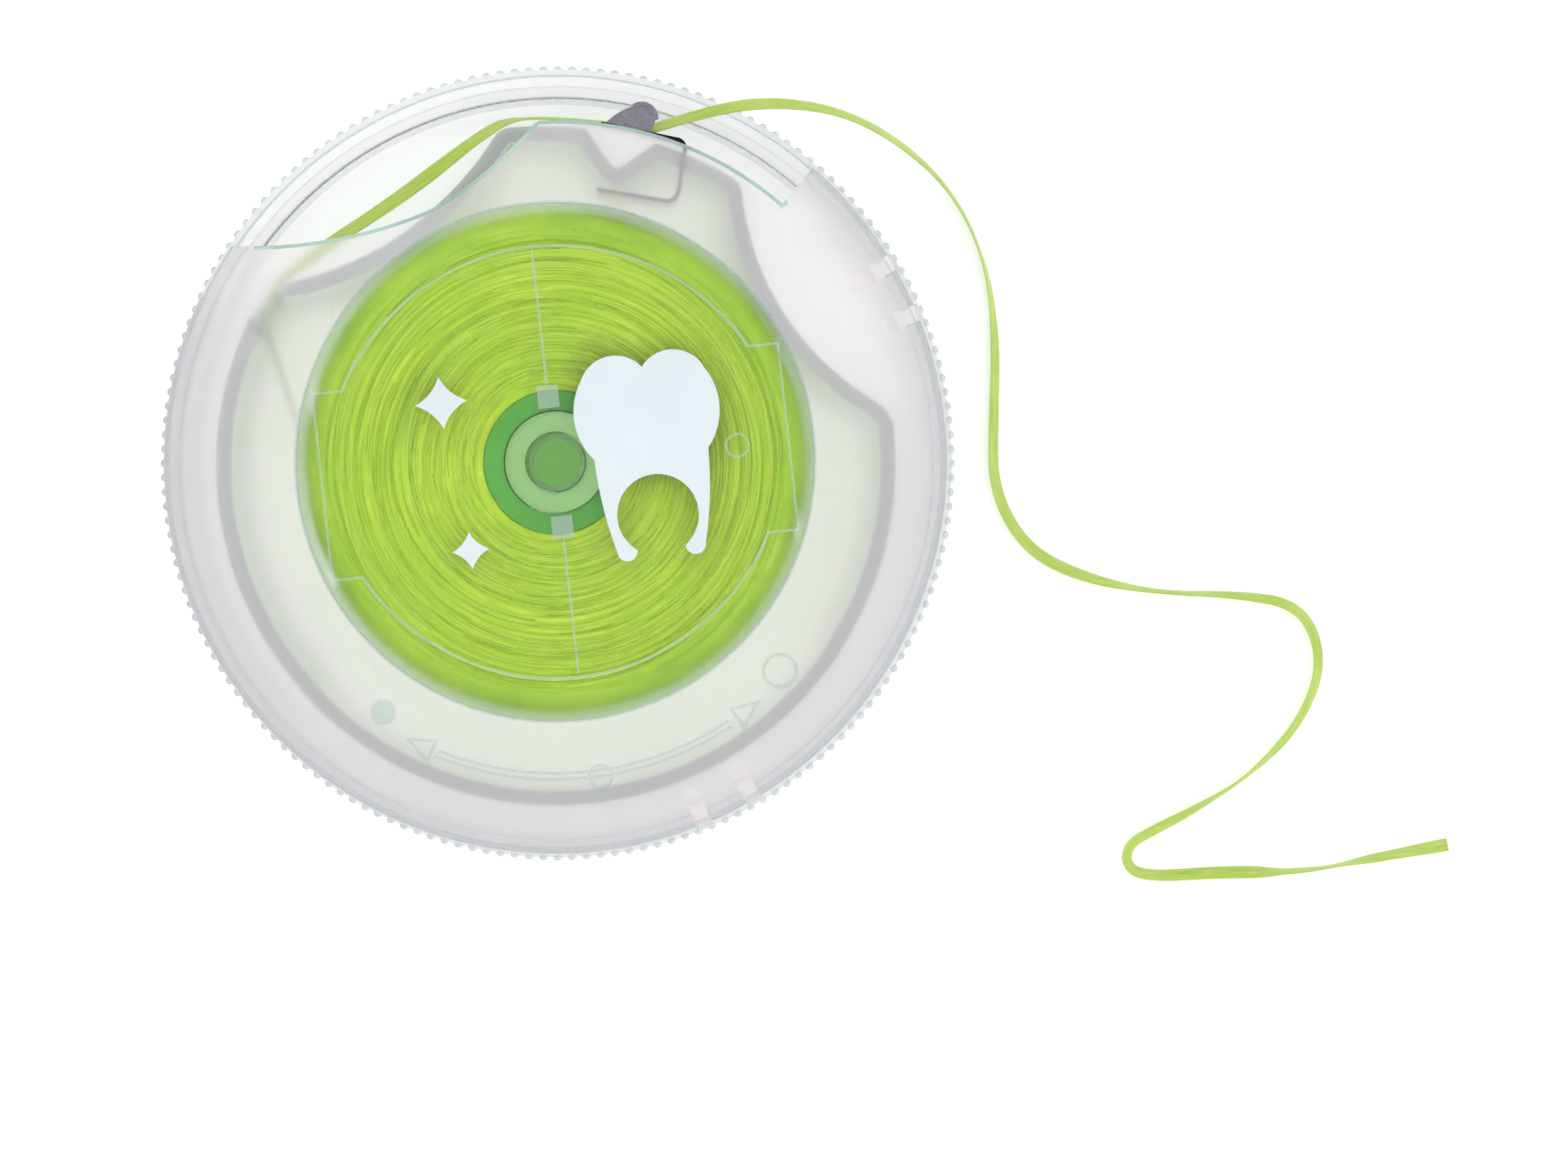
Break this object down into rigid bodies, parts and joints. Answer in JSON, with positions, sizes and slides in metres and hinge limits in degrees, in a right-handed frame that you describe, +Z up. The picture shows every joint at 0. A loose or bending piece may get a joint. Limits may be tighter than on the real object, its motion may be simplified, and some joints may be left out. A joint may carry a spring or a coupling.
{
  "type": "dental floss dispenser",
  "caption": "Round clear plastic floss dispenser with a knurled rim and a turning cover, green floss tape curling out of its open mouth.",
  "frame": {"origin": "centre of the underside, on the turning axis", "axes": "+Z up out of the front cover, along the turning axis; +Y towards the mouth; +X to the right, towards the side where the tape comes out"},
  "size_m": [0.0976, 0.0618, 0.0151],
  "materials": {
    "frosted_base": "frosted, translucent",
    "frosted_insert": "frosted, translucent",
    "frosted_cover": "frosted, translucent",
    "green_floss": "waxed flat tape",
    "spool_green": "smooth, semi-translucent",
    "cutter_steel": "bright sheet, bent",
    "print_white": "printed ink"
  },
  "bodies": {
    "base": {"base_shell": "frosted_base", "chamber_insert": "frosted_insert", "cutter_clip": "cutter_steel", "floss_feed": "green_floss", "floss_strand": "green_floss"},
    "cover": {"front_cover": "frosted_cover", "cover_print": "print_white"},
    "spool": {"spool_core": "spool_green", "floss_winding": "green_floss"}
  },
  "joints": [
    {"name": "cover_turn", "type": "hinge", "parent": "base", "child": "cover", "pos_m": [0, 0, 0.0138], "axis": [0, 0, 1], "range_deg": [-81, 0]},
    {"name": "spool_spin", "type": "hinge", "parent": "base", "child": "spool", "pos_m": [0, 0, 0.0075], "axis": [0, 0, 1], "continuous": true}
  ]
}
